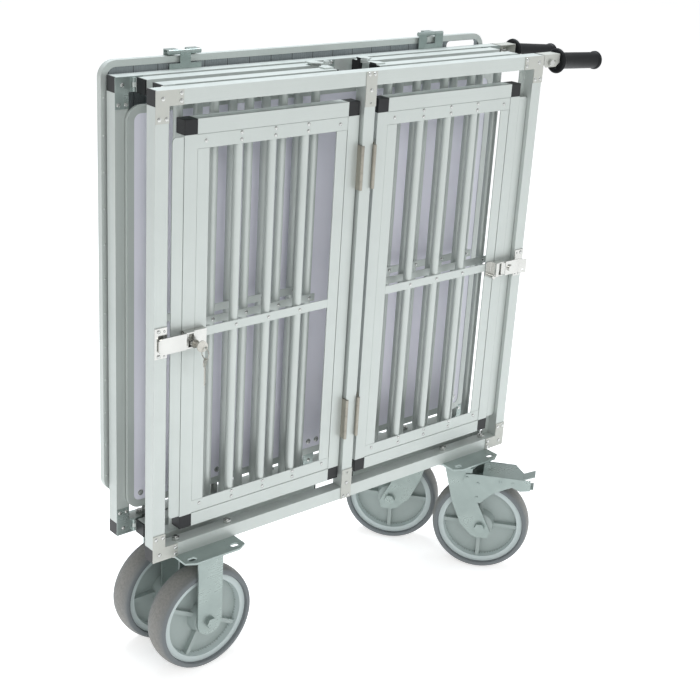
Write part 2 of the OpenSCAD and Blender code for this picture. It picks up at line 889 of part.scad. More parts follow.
// Rear part of the top sheet, a stepped front part that tapers, and two toe tabs
module brake_pedal() {
    half = cheek_in + 0.5;
    translate([0, -cheek_in, 0]) brake_cheek(true);
    translate([0, cheek_in + cheek_t, 0]) brake_cheek(false);
    translate([52, -half, -28.6]) cube([46, 2 * half, 2]);
    translate([0, 0, -27.6]) linear_extrude(2)
        polygon([[96, -half], [138, -half], [138, toe_edge], [118, half], [96, half]]);
    translate([136, -half, -27.4]) rotate([0, -24, 0]) cube([27, half + toe_edge, 2]);
    translate([149, -half, -48]) cube([3, half + toe_edge, 9]);
    translate([134, -half, -50]) rotate([0, -10, 0]) cube([26, half + toe_edge, 2]);
    translate([136, -half + 4, -48.5]) cube([12, 18, 7]);
    translate([88, -22, -40]) cube([22, 44, 12.4]);
    for (p = [[44, -46], [44, -78], [90, -36], [116, -36]])
        translate([p[0], -cheek_in - cheek_t + 0.5, p[1]]) rotate([90, 0, 0]) cheek_rivet();
    for (p = [[44, -46], [44, -78], [90, -36]])
        translate([p[0], cheek_in + cheek_t - 0.5, p[1]]) rotate([-90, 0, 0]) cheek_rivet();
}

module cheek_rivet() {
    cylinder(r1 = 3.3, r2 = 2, h = 2);
}

// Crowned tread on a rim groove
module tyre() {
    crown = [for (y = [-crown_half:4:crown_half])
        [wheel_r - crown_r + sqrt(crown_r * crown_r - y * y), y]];
    side = [[7.5, tyre_half - 1.2], [5, tyre_half], [0.6, tyre_half - 1.2], [0, tyre_half - 4]];
    lower = [for (i = [len(side) - 1:-1:0]) [tyre_in + side[i][0], -side[i][1]]];
    upper = [for (p = side) [tyre_in + p[0], p[1]]];
    rotate([90, 0, 0]) rotate_extrude($fn = 96)
        polygon(concat([[tyre_in - 5, -10], [tyre_in, -16]], lower, crown, upper,
                       [[tyre_in, 16], [tyre_in - 5, 10]]));
}

module hub() {
    rib_w = 8;
    rotate([90, 0, 0]) {
        rotate_extrude($fn = 96) polygon([
            [axle_r + run_gap, -28.5], [16, -28.5], [hub_r, -24], [hub_r + 4, -web_half],
            [tyre_in - 14, -web_half], [tyre_in - 11, -18], [tyre_in, -18], [tyre_in, -16.2],
            [tyre_in - 5.2, -10.2], [tyre_in - 5.2, 10.2], [tyre_in, 16.2], [tyre_in, 18],
            [tyre_in - 11, 18], [tyre_in - 14, web_half], [hub_r + 4, web_half], [hub_r, 24],
            [16, 28.5], [axle_r + run_gap, 28.5]]);
        for (a = [0:90:270], s = [-1, 1]) rotate([0, 0, a])
            translate([hub_r, -rib_w / 2, s < 0 ? -14 : web_half - eps])
                cube([tyre_in - 11 - hub_r, rib_w, 14 - web_half + eps]);
    }
}

// Places a castor's pieces; turn is the way a swivel castor trails
module at_castor(side, y) {
    translate([castor_x[side], y + tube / 2, 0]) children();
}

module turned(rear) {
    rotate([0, 0, rear ? swivel_turn + 180 : swivel_turn]) children();
}

module fixed_wheel(y) {
    at_castor(0, y) translate([0, 0, -axle_drop]) children();
}

module swivel_wheel(y, rear) {
    at_castor(1, y) turned(rear) translate([trail, 0, -axle_drop]) children();
}

// ---------- panels ----------

module rounded(w, h, r) {
    translate([r, 0]) square([w - 2 * r, h]);
    translate([0, r]) square([w, h - 2 * r]);
    for (x = [r, w - r], z = [r, h - r]) translate([x, z]) circle(r = r);
}

module upright_sheet(x, y, z, w, h, r, t) {
    translate([x, y, z]) rotate([90, 0, 0]) linear_extrude(t, center = true) rounded(w, h, r);
}

module floor_board() {
    upright_sheet(floor_x0 + 1.2, floor_mid, floor_z0 + 1.2, floor_w - 2.4, floor_h - 2.4,
                  floor_r - 1.2, board_t);
}

// Edge trim: a C section wrapped round a board
module edge_trim(x, y, z, w, h, r, t, lip, inner_t) {
    difference() {
        upright_sheet(x, y, z, w, h, r, t);
        upright_sheet(x + lip, y, z + lip, w - 2 * lip, h - 2 * lip, max(r - lip, 1), t + 2);
        upright_sheet(x + 1.1, y, z + 1.1, w - 2.2, h - 2.2, r - 1.1, inner_t);
    }
}

module floor_trim() {
    edge_trim(floor_x0, floor_mid, floor_z0, floor_w, floor_h, floor_r, 5.5, trim_w, board_t + 0.04);
}

// Plates that hang from the board's lower edge in front of the bottom rail
module floor_fittings() {
    rivets_at([for (x = [46, 214, 267, 435, 455, 617, 670, 838]) [x, floor_z0 + 28]],
              floor_mid - board_t / 2, 5.5, 2.5);
    both_sides() {
        translate([201, fit_y - 6, fit_low]) cube([14, fit_t + 6, floor_z0 - fit_low]);
        translate([53, fit_y, fit_low]) cube([25, fit_t, floor_z0 + 8 - fit_low]);
        rivets_at([[59, 40], [71, 40]], fit_y, 3.6, 2);
        translate([330, fit_y, fit_low]) cube([22, fit_t, floor_z0 + 8 - fit_low]);
        translate([330, fit_y - 2, floor_z0 - 11]) rotate([0, 90, 0]) cylinder(r = 2.4, h = 22);
    }
}

module top_board() {
    difference() {
        upright_sheet(top_x0 + 1.2, top_mid, top_z0 + 1.2, top_w - 2.4, top_h - 2.4, top_r - 1.2,
                      top_core);
        upright_sheet(hand_x0, top_mid, hand_z0, 84, 24, 8, top_core + 2);
    }
}

module top_trim() {
    edge_trim(top_x0, top_mid, top_z0, top_w, top_h, top_r, top_t, top_lip, top_core + 0.04);
    rivets_at([for (z = [110:62:792], x = [top_x0 + 5.5, top_x0 + top_w - 5.5]) [x, z]],
              top_mid - top_t / 2, 2, 0.9);
}

function third(s) = (s[1] - s[0]) / 3;
function held(s, middle) = middle ? [third(s)] : [0, 2 * third(s)];

// Brackets on the rear top rail, with the pins; cut away where the straps swing
module top_brackets() {
    for (s = top_hinges) {
        k = third(s);
        difference() {
            translate([s[0], rear_back, top_rail + 3])
                cube([3 * k, plate_t, top_pin_z - top_rail - 3]);
            for (dx = held(s, !s[2])) translate([s[0] + dx - 0.2, rear_back - 1, strap_clear])
                cube([k + 0.4, plate_t + 2, 30]);
        }
        translate([s[0], top_pin_y, top_pin_z]) rotate([0, 90, 0]) {
            for (dx = held(s, s[2])) translate([0, 0, dx]) cylinder(r = top_knuckle_r, h = k);
            cylinder(r = pin_r, h = 3 * k);
        }
    }
}

// Straps on the top panel, bored for the pins
module top_straps() {
    face = top_mid + top_t / 2;
    for (s = top_hinges) {
        k = third(s);
        for (dx = held(s, !s[2])) translate([s[0] + dx + 0.2, 0, 0]) difference() {
            union() {
                translate([0, top_pin_y, top_pin_z]) rotate([0, 90, 0])
                    cylinder(r = top_knuckle_r, h = k - 0.4);
                translate([0, top_pin_y, top_pin_z + 2.4])
                    cube([k - 0.4, face + 1.6 - top_pin_y, 1.6]);
                translate([0, face, strap_foot]) cube([k - 0.4, 1.6, top_pin_z + 4 - strap_foot]);
            }
            translate([-1, top_pin_y, top_pin_z]) rotate([0, 90, 0])
                cylinder(r = pin_r + run_gap, h = k + 2);
        }
        translate([s[0] + 0.2, face, strap_foot]) cube([3 * k - 0.4, 1.6, 16]);
    }
}

// ---------- nodes ----------

module front_rails() { color(alu) on_cart() gate_rails(0); }

module front_posts() { color(alu) on_cart() gate_posts(0); }

module front_caps() { color(black) on_cart() gate_caps(0); }

module front_plates() {
    color(satin) on_cart() {
        gate_gussets(0);
        gate_straps(0);
        both_sides() leaf_hinge_frame_half(leaf_pin, tube);
    }
}

module front_fasteners() {
    color(chrome) on_cart() {
        gate_rivets(0);
        both_sides() keeper_screws();
        castor_bolts(0);
        handle_tongue(0);
    }
}

module latch_keepers() { color(chrome) on_cart() both_sides() keeper(); }

module post_hinges() {
    color(steel) on_cart() both_sides()
        for (z = butt_low) translate([0, 0, z]) butt_post_half();
}

module front_left_fork() { color(zinc) on_cart() at_castor(0, 0) fixed_fork(); }

module front_right_plate() { color(zinc) on_cart() at_castor(1, 0) swivel_plate(); }

module front_left_hub() { color(satin) on_cart() fixed_wheel(0) rotate([0, 28, 0]) hub(); }

module front_left_tyre() { color(grey) on_cart() fixed_wheel(0) tyre(); }

module front_right_fork() { color(zinc) on_cart() at_castor(1, 0) turned(false) swivel_fork(); }

module front_right_brake() { color(zinc) on_cart() at_castor(1, 0) turned(false) brake_pedal(); }

module front_right_hub() { color(satin) on_cart() swivel_wheel(0, false) hub(); }

module front_right_tyre() { color(grey) on_cart() swivel_wheel(0, false) tyre(); }

module rear_rails() { color(alu) on_cart() gate_rails(frame_pitch); }

module rear_posts() { color(alu) on_cart() gate_posts(frame_pitch); }

module rear_caps() { color(black) on_cart() gate_caps(frame_pitch); }

module rear_plates() {
    color(zinc) on_cart() {
        gate_gussets(frame_pitch);
        gate_straps(frame_pitch);
        both_sides() leaf_hinge_frame_half(rear_pin, frame_pitch);
        top_brackets();
    }
}

module rear_fasteners() {
    color(chrome) on_cart() {
        gate_rivets(frame_pitch);
        castor_bolts(frame_pitch);
        handle_tongue(frame_pitch);
    }
}

module rear_left_fork() { color(zinc) on_cart() at_castor(0, frame_pitch) fixed_fork(); }

module rear_right_plate() { color(zinc) on_cart() at_castor(1, frame_pitch) swivel_plate(); }

module floor_board_node() { color(lilac) on_cart() floor_board(); }

module floor_trim_node() { color(alu) on_cart() floor_trim(); }

module floor_fittings_node() { color(satin) on_cart() floor_fittings(); }

module rear_left_hub() { color(satin) on_cart() fixed_wheel(frame_pitch) hub(); }

module rear_left_tyre() { color(grey) on_cart() fixed_wheel(frame_pitch) tyre(); }

module rear_right_fork() { color(zinc) on_cart() at_castor(1, frame_pitch) turned(true) swivel_fork(); }

module rear_right_brake() { color(zinc) on_cart() at_castor(1, frame_pitch) turned(true) brake_pedal(); }

module rear_right_hub() { color(satin) on_cart() swivel_wheel(frame_pitch, true) hub(); }

module rear_right_tyre() { color(grey) on_cart() swivel_wheel(frame_pitch, true) tyre(); }

module top_board_node() { color([0.35, 0.36, 0.38]) on_cart() top_board(); }

module top_trim_node() { color(alu) on_cart() top_trim(); }

module top_straps_node() { color(zinc) on_cart() top_straps(); }

module left_door_frame() { color(alu) on_cart() door_frame(left_door); }

module left_door_corners() { color(black) on_cart() door_corners(left_door); }

module left_door_bars() { color(alu) on_cart() door_bars(left_door); }

module left_door_hinges() {
    color(steel) on_cart() for (z = butt_low) translate([0, 0, z]) butt_door_half(left_door);
}

module left_latch_base_node() { color(chrome) on_cart() left_latch_base(); }

module left_latch_paddle_node() { color(chrome) on_cart() left_latch_paddle(); }

module left_latch_key_node() { color(steel) on_cart() left_latch_key(); }

module left_latch_ring_node() { color(steel) on_cart() left_latch_ring(); }

module right_door_frame() { color(alu) on_cart() right_side() door_frame(right_door); }

module right_door_corners() { color(black) on_cart() right_side() door_corners(right_door); }

module right_door_bars() { color(alu) on_cart() right_side() door_bars(right_door); }

module right_door_hinges() {
    color(steel) on_cart() right_side()
        for (z = butt_low) translate([0, 0, z]) butt_door_half(right_door);
}

module right_latch_base_node() { color(chrome) on_cart() right_latch_base(); }

module right_latch_paddle_node() { color(chrome) on_cart() right_latch_paddle(); }

module left_front_leaf_rails() { color(alu) on_cart() front_leaf_rails(); }

module left_front_leaf_bars() { color(alu) on_cart() leaf_bars(leaf_front); }

module left_rear_leaf_rails() { color(alu) on_cart() rear_leaf_rails(false); }

module left_rear_leaf_bars() { color(alu) on_cart() leaf_bars(leaf_rear); }

module right_front_leaf_rails() { color(alu) on_cart() right_side() front_leaf_rails(); }

module right_front_leaf_bars() { color(alu) on_cart() right_side() leaf_bars(leaf_front); }

module right_rear_leaf_rails() { color(alu) on_cart() right_side() rear_leaf_rails(true); }

module right_rear_leaf_bars() { color(alu) on_cart() right_side() leaf_bars(leaf_rear); }

module front_handle_channel() { color(zinc) on_cart() handle_channel(0, true); }

module front_handle_grip() { color(black) on_cart() handle_grip(0, droop[0]); }

module rear_handle_channel() { color(zinc) on_cart() handle_channel(frame_pitch, false); }

module rear_handle_grip() { color(black) on_cart() handle_grip(frame_pitch, droop[1]); }

front_rails();
front_posts();
front_caps();
front_plates();
front_fasteners();
latch_keepers();
post_hinges();
front_left_fork();
front_right_plate();
front_left_hub();
front_left_tyre();
front_right_fork();
front_right_brake();
front_right_hub();
front_right_tyre();
rear_rails();
rear_posts();
rear_caps();
rear_plates();
rear_fasteners();
rear_left_fork();
rear_right_plate();
floor_board_node();  // floor_board
floor_trim_node();  // floor_trim
floor_fittings_node();  // floor_fittings
rear_left_hub();
rear_left_tyre();
rear_right_fork();
rear_right_brake();
rear_right_hub();
rear_right_tyre();
top_board_node();  // top_board
top_trim_node();  // top_trim
top_straps_node();  // top_straps
left_door_frame();
left_door_corners();
left_door_bars();
left_door_hinges();
left_latch_base_node();  // left_latch_base
left_latch_paddle_node();  // left_latch_paddle
left_latch_key_node();  // left_latch_key
left_latch_ring_node();  // left_latch_ring
right_door_frame();
right_door_corners();
right_door_bars();
right_door_hinges();
right_latch_base_node();  // right_latch_base
right_latch_paddle_node();  // right_latch_paddle
left_front_leaf_rails();
left_front_leaf_bars();
left_rear_leaf_rails();
left_rear_leaf_bars();
right_front_leaf_rails();
right_front_leaf_bars();
right_rear_leaf_rails();
right_rear_leaf_bars();
front_handle_channel();
front_handle_grip();
rear_handle_channel();
rear_handle_grip();
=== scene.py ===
"""Folding two-bay cage trolley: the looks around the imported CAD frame."""

import json
import math

import bmesh
import bpy
from mathutils import Matrix, Vector


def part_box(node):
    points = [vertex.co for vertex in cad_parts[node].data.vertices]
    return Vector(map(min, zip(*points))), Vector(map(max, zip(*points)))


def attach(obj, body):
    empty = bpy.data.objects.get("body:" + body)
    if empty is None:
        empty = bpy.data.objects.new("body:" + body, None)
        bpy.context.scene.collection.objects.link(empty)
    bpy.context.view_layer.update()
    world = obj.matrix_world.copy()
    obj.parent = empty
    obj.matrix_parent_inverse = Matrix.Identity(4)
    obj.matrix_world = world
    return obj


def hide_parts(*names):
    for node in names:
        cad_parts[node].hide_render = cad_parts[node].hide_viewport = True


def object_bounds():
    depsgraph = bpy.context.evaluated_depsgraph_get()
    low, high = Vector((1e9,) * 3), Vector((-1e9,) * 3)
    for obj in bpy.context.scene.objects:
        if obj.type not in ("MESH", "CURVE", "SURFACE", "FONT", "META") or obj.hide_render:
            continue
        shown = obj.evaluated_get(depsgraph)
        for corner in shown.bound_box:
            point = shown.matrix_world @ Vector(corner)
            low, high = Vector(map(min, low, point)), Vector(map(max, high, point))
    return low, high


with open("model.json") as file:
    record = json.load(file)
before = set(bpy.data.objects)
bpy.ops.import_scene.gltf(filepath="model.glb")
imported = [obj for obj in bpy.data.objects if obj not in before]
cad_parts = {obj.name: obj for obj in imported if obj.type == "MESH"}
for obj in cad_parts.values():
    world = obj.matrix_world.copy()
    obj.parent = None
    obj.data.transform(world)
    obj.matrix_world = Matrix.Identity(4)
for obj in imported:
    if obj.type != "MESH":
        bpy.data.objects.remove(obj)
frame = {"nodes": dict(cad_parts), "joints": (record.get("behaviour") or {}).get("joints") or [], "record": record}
cad_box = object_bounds()

MM = 0.001

# Sizes of the cart that the frame doesn't name, in metres
TUBE = 25 * MM
LEAF_CAP = 3 * MM
LEAF_ENDS = (34 * MM, 396 * MM)  # both ends of a leaf's rails, from the nearer end of the gate
RAIL_BEHIND_BARS = 11.5 * MM  # middle of a leaf's rails, behind its bars' rivet heads
RIVET_STANDS = 1.45 * MM
WHEEL_R = 103 * MM
HUB_RING_R = 75.5 * MM

# Cart datum: left end of the gate, front face, underside of the bottom rail
post_low, post_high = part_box("front_posts")
LEFT = post_low.x
RIGHT = post_high.x
FRONT = post_low.y
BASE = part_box("front_rails")[0].z

NODE_BODY = {
    node: body
    for body, nodes in frame["record"]["behaviour"]["bodies"].items()
    for node in nodes
}


def at(x, y, z):
    """A point of the cart in millimetres, as a place in the frame."""
    return Vector((LEFT + x * MM, FRONT + y * MM, BASE + z * MM))


# ---------- materials ----------


class Graph:
    """A small helper that builds one node material."""

    def __init__(self, name):
        self.material = bpy.data.materials.new(name)
        self.material.use_nodes = True
        self.tree = self.material.node_tree
        self.shader = self.tree.nodes["Principled BSDF"]
        self.coords = self.tree.nodes.new("ShaderNodeTexCoord").outputs["Object"]

    def link(self, source, target):
        self.tree.links.new(source, target)

    def axes(self):
        """The three object coordinates on their own."""
        node = self.tree.nodes.new("ShaderNodeSeparateXYZ")
        self.link(self.coords, node.inputs["Vector"])
        return [node.outputs[i] for i in range(3)]

    def stretched(self, scale, rotation=(0, 0, 0)):
        mapping = self.tree.nodes.new("ShaderNodeMapping")
        mapping.inputs["Scale"].default_value = scale
        mapping.inputs["Rotation"].default_value = rotation
        self.link(self.coords, mapping.inputs["Vector"])
        return mapping.outputs["Vector"]

    def noise(self, scale, detail, rough, rotation=(0, 0, 0)):
        """Noise with `scale` ripples a metre, one number for all axes or one for each."""
        each = (scale,) * 3 if isinstance(scale, (int, float)) else scale
        node = self.tree.nodes.new("ShaderNodeTexNoise")
        node.inputs["Scale"].default_value = 1.0
        node.inputs["Detail"].default_value = detail
        node.inputs["Roughness"].default_value = rough
        self.link(self.stretched(each, rotation), node.inputs["Vector"])
        return node.outputs["Fac"]

    def remap(self, value, low, high, to_low=0.0, to_high=1.0):
        node = self.tree.nodes.new("ShaderNodeMapRange")
        limits = {"From Min": low, "From Max": high, "To Min": to_low, "To Max": to_high}
        for socket, number in limits.items():
            node.inputs[socket].default_value = number
        self.link(value, node.inputs["Value"])
        return node.outputs["Result"]

    def math(self, kind, first, second):
        node = self.tree.nodes.new("ShaderNodeMath")
        node.operation = kind
        for index, value in enumerate((first, second)):
            if isinstance(value, (int, float)):
                node.inputs[index].default_value = value
            else:
                self.link(value, node.inputs[index])
        return node.outputs[0]

    def mix(self, factor, first, second):
        node = self.tree.nodes.new("ShaderNodeMix")
        node.data_type = "RGBA"
        self.link(factor, node.inputs["Factor"])
        for name, value in (("A", first), ("B", second)):
            socket = [s for s in node.inputs if s.name == name and s.type == "RGBA"][0]
            if isinstance(value, tuple):
                socket.default_value = (*value, 1.0)
            else:
                self.link(value, socket)
        return [s for s in node.outputs if s.type == "RGBA"][0]

    def bump(self, height, strength, distance=0.2 * MM):
        node = self.tree.nodes.new("ShaderNodeBump")
        node.inputs["Strength"].default_value = strength
        node.inputs["Distance"].default_value = distance
        self.link(height, node.inputs["Height"])
        return node.outputs["Normal"]

    def finish(self, colour, rough, normal=None, **fixed):
        """Links the shader; `fixed` names its other sockets, with _ for a space."""
        self.link(colour, self.shader.inputs["Base Color"])
        self.link(rough, self.shader.inputs["Roughness"])
        if normal is not None:
            self.link(normal, self.shader.inputs["Normal"])
        for name, value in fixed.items():
            self.shader.inputs[name.replace("_", " ")].default_value = value
        return self.material


def drawn_metal(name, tone, dull, grain, rough=(0.34, 0.46)):
    """Rolled or extruded metal: fine lines along its length over faint cloudy patches."""
    g = Graph(name)
    lines = g.noise(grain, 4.0, 0.6)
    cloud = g.noise(7, 5.0, 0.6)
    handled = g.noise(60, 3.0, 0.6)
    line_tone = tuple(c * 0.93 for c in tone)
    colour = g.mix(g.remap(cloud, 0.35, 0.7), tone, dull)
    colour = g.mix(g.math("MULTIPLY", g.remap(lines, 0.35, 0.75), 0.5), colour, line_tone)
    worn = g.math(
        "ADD", g.remap(lines, 0.3, 0.7, 0, 0.5), g.remap(handled, 0.35, 0.65, 0, 0.5)
    )
    return g.finish(colour, g.remap(worn, 0.1, 0.9, *rough), g.bump(lines, 0.04), Metallic=0.35)


def plated(name, tone, dull, metallic=0.6, rough=(0.24, 0.4), spangle=90, bump=0.03):
    """Zinc or chrome plate: soft spangle, stains and small scratches."""
    g = Graph(name)
    crystals = g.noise(spangle, 2.0, 0.5)
    stains = g.noise(14, 6.0, 0.65)
    scratches = g.noise((40, 900, 900), 2.0, 0.5, rotation=(0.3, 0.5, 0.7))
    colour = g.mix(g.remap(stains, 0.4, 0.72), tone, dull)
    uneven = g.math(
        "ADD", g.remap(stains, 0.3, 0.7, 0, 0.7), g.remap(scratches, 0.4, 0.7, 0, 0.3)
    )
    gloss = g.remap(uneven, 0.1, 0.9, *rough)
    return g.finish(colour, gloss, g.bump(crystals, bump), Metallic=metallic)


def moulded(name, tone, worn, rough=(0.35, 0.6), grain=700, bump=0.15, specular=0.5):
    """Moulded plastic or rubber: fine grain and faint dusty blotches."""
    g = Graph(name)
    fine = g.noise(grain, 2.0, 0.5)
    blotch = g.noise(35, 4.0, 0.6)
    colour = g.mix(g.remap(blotch, 0.45, 0.85, 0.0, 0.5), tone, worn)
    gloss = g.remap(blotch, 0.3, 0.75, *rough)
    return g.finish(colour, gloss, g.bump(fine, bump), Specular_IOR_Level=specular)


def tyre_rubber():
    """Grey rubber, with the tread rubbed to a dusty beige band."""
    g = Graph("tyre_rubber")
    x, _, z = g.axes()
    square = g.math("ADD", g.math("MULTIPLY", x, x), g.math("MULTIPLY", z, z))
    radius = g.math("SQRT", square, 0)
    ragged = g.noise((55, 90, 55), 5.0, 0.7)
    edge = g.math("ADD", radius, g.math("MULTIPLY", ragged, 4 * MM))
    tread = g.remap(edge, 98.5 * MM, 104.5 * MM)
    scuff = g.noise(240, 3.0, 0.6)
    beige = g.mix(g.remap(scuff, 0.35, 0.7), (0.245, 0.240, 0.222), (0.195, 0.194, 0.184))
    side = g.mix(g.remap(scuff, 0.3, 0.75), (0.140, 0.156, 0.165), (0.168, 0.184, 0.190))
    gloss = g.remap(scuff, 0.3, 0.7, 0.5, 0.72)
    return g.finish(g.mix(tread, side, beige), gloss, g.bump(scuff, 0.2, 0.4 * MM))


def lilac_board():
    """Laminated board: slight orange peel, faint rubbed patches."""
    g = Graph("lilac_board")
    peel = g.noise(260, 2.0, 0.4)
    patch = g.noise(4, 5.0, 0.6)
    colour = g.mix(g.remap(patch, 0.35, 0.7), (0.82, 0.81, 0.90), (0.79, 0.78, 0.87))
    gloss = g.remap(patch, 0.3, 0.7, 0.3, 0.4)
    return g.finish(colour, gloss, g.bump(peel, 0.03), Coat_Weight=0.15)


def ribbed_mat():
    """Dark rubber mat with fine upright ribs and a wider joint now and then."""
    rib_pitch = 4.7 * MM
    joint_pitch = 47 * MM
    g = Graph("ribbed_mat")
    across = g.axes()[0]
    ribs = g.math("SINE", g.math("MULTIPLY", across, 2 * math.pi / rib_pitch), 0)
    wave = g.math("SINE", g.math("MULTIPLY", across, math.pi / joint_pitch), 0)
    joint = g.remap(g.math("ABSOLUTE", wave, 0), 0.0, 0.09, 1.0, 0.0)
    dust = g.noise(22, 5.0, 0.65)
    colour = g.mix(g.remap(dust, 0.35, 0.75), (0.20, 0.23, 0.24), (0.26, 0.29, 0.30))
    colour = g.mix(joint, colour, (0.06, 0.065, 0.07))
    height = g.math("SUBTRACT", ribs, g.math("MULTIPLY", joint, 3.0))
    gloss = g.remap(dust, 0.3, 0.7, 0.45, 0.65)
    return g.finish(colour, gloss, g.bump(height, 0.4, 0.6 * MM))


ALU = (0.545, 0.585, 0.562)
ALU_DULL = (0.510, 0.548, 0.526)
alu_x = drawn_metal("anodised_along_x", ALU, ALU_DULL, (6, 900, 900))
alu_z = drawn_metal("anodised_along_z", ALU, ALU_DULL, (900, 900, 6))
satin = drawn_metal(
    "satin_plate", (0.500, 0.510, 0.470), (0.455, 0.465, 0.430), 260, rough=(0.36, 0.5)
)
zinc = plated("zinc_plate", (0.345, 0.405, 0.385), (0.285, 0.340, 0.325), bump=0.012)
rivet_metal = plated(
    "rivet_head", (0.56, 0.57, 0.55), (0.46, 0.47, 0.46), 0.9, (0.14, 0.24), spangle=160
)
bright = plated(
    "bright_plate", (0.46, 0.47, 0.455), (0.38, 0.39, 0.38), 0.8, (0.16, 0.3), spangle=160
)
chrome = plated(
    "latch_chrome", (0.60, 0.60, 0.575), (0.52, 0.52, 0.50), 0.92, (0.12, 0.24), spangle=60
)
hinge_steel = plated(
    "hinge_steel", (0.36, 0.34, 0.29), (0.30, 0.28, 0.24), rough=(0.3, 0.45), spangle=160
)
key_metal = plated(
    "key_nickel", (0.50, 0.49, 0.45), (0.40, 0.385, 0.34), 0.8, (0.2, 0.4), spangle=200
)
black_cap = moulded(
    "black_cap", (0.009, 0.010, 0.011), (0.026, 0.027, 0.029), (0.3, 0.46), specular=0.35
)
grip_rubber = moulded(
    "grip_rubber",
    (0.007, 0.008, 0.009),
    (0.016, 0.017, 0.019),
    (0.4, 0.55),
    grain=900,
    specular=0.2,
)
# Two tones of one grey hub plastic: the rim's lighter grey is a painted highlight on the hub's outer ring
hub_rim_painted_highlight = moulded(
    "hub_rim_painted_highlight", (0.50, 0.57, 0.565), (0.55, 0.61, 0.60), (0.35, 0.5), grain=300, bump=0.05
)
hub_plastic = moulded(
    "hub_plastic", (0.33, 0.385, 0.37), (0.38, 0.43, 0.415), (0.35, 0.5), grain=300, bump=0.06
)
tyre_grey = tyre_rubber()
lilac = lilac_board()
mat_dark = ribbed_mat()

# ---------- making a piece ----------


def place(piece, node):
    """Rides a piece on its node's body, in place of the CAD node."""
    bpy.context.scene.collection.objects.link(piece)
    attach(piece, NODE_BODY[node])
    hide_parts(node)


def made_object(name, bm, materials):
    mesh = bpy.data.meshes.new(name)
    bm.to_mesh(mesh)
    bm.free()
    for material in materials:
        mesh.materials.append(material)
    return bpy.data.objects.new(name, mesh)


def smooth_with_creases(bm, angle=32):
    for face in bm.faces:
        face.smooth = True
    for edge in bm.edges:
        edge.smooth = edge.calc_face_angle(math.pi) < math.radians(angle)


def add_bevel(piece, width, segments):
    bevel = piece.modifiers.new("bevel", "BEVEL")
    bevel.width = width
    bevel.segments = segments
    bevel.limit_method = "ANGLE"
    bevel.angle_limit = math.radians(34)
    bevel.harden_normals = True
    bevel.use_clamp_overlap = True


def dressed(node, materials, bevel=0.5 * MM, segments=2, cuts=(), paint=None):
    """The CAD node's own shape with rounded edges.

    Each cut (axis, value) splits the faces that cross it, and paint(face centre) then says
    which of the materials a face gets.
    """
    bm = bmesh.new()
    bm.from_mesh(frame["nodes"][node].data)
    bmesh.ops.remove_doubles(bm, verts=bm.verts, dist=1e-6)
    for axis, value in cuts:
        normal = Vector([float(i == axis) for i in range(3)])
        everything = bm.verts[:] + bm.edges[:] + bm.faces[:]
        bmesh.ops.bisect_plane(
            bm, geom=everything, plane_co=normal * value, plane_no=normal, dist=1e-6
        )
    bm.normal_update()
    if paint:
        for face in bm.faces:
            face.material_index = paint(face.calc_center_median())
    flat = math.radians(0.6)
    bmesh.ops.dissolve_limit(
        bm, angle_limit=flat, verts=bm.verts, edges=bm.edges, delimit={"MATERIAL"}
    )
    bm.normal_update()
    smooth_with_creases(bm)
    piece = made_object(node + "_look", bm, materials)
    place(piece, node)
    if bevel:
        add_bevel(piece, bevel, segments)


def lathe(name, profile, steps, material):
    """Turns (radius, height along Y) points about the local Y axis."""
    bm = bmesh.new()
    turns = [2 * math.pi * i / steps for i in range(steps)]
    rings = [
        [bm.verts.new((radius * math.cos(a), along, radius * math.sin(a))) for a in turns]
        for radius, along in profile
    ]
    for low, high in zip(rings, rings[1:]):
        for i in range(steps):
            j = (i + 1) % steps
            bm.faces.new((low[i], low[j], high[j], high[i]))
    bmesh.ops.recalc_face_normals(bm, faces=bm.faces)
    smooth_with_creases(bm, 40)
    return made_object(name, bm, [material])


def rivet_paint(node):
    """Second material for the rivet heads on the front of a node."""
    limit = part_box(node)[0].y + RIVET_STANDS
    return lambda centre: int(centre.y < limit)


# ---------- sub-parts ----------


def dress_gates():
    for end in ("front", "rear"):
        dressed(end + "_rails", [alu_x], 0.9 * MM, 3)
        dressed(end + "_posts", [alu_z], 0.9 * MM, 3)
        dressed(end + "_caps", [black_cap], 0.8 * MM, 3)
    dressed("front_plates", [satin], 0.3 * MM)
    dressed("rear_plates", [zinc], 0.3 * MM)
    for end in ("front", "rear"):
        dressed(end + "_fasteners", [rivet_metal], 0)
    dressed("latch_keepers", [chrome], 0.4 * MM)
    dressed("post_hinges", [hinge_steel], 0.25 * MM)


def dress_door_frame(side):
    """Uprights drawn along Z between two cross tubes drawn along X."""
    low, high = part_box(side + "_door_corners")
    lower, upper = low.z + TUBE, high.z - TUBE
    dressed(
        side + "_door_frame",
        [alu_z, alu_x],
        0.7 * MM,
        3,
        cuts=[(2, lower), (2, upper)],
        paint=lambda centre: int(centre.z < lower or centre.z > upper),
    )


def dress_door(side):
    bars = side + "_door_bars"
    dress_door_frame(side)
    dressed(side + "_door_corners", [black_cap], 1.2 * MM, 3)
    dressed(bars, [alu_z, rivet_metal], 0, paint=rivet_paint(bars))
    dressed(side + "_door_hinges", [hinge_steel], 0.25 * MM)
    dressed(side + "_latch_base", [chrome], 0.5 * MM)
    dressed(side + "_latch_paddle", [chrome], 0.5 * MM, 3)


def dress_keys():
    dressed("left_latch_key", [key_metal], 0.3 * MM)
    dressed("left_latch_ring", [key_metal], 0.2 * MM)


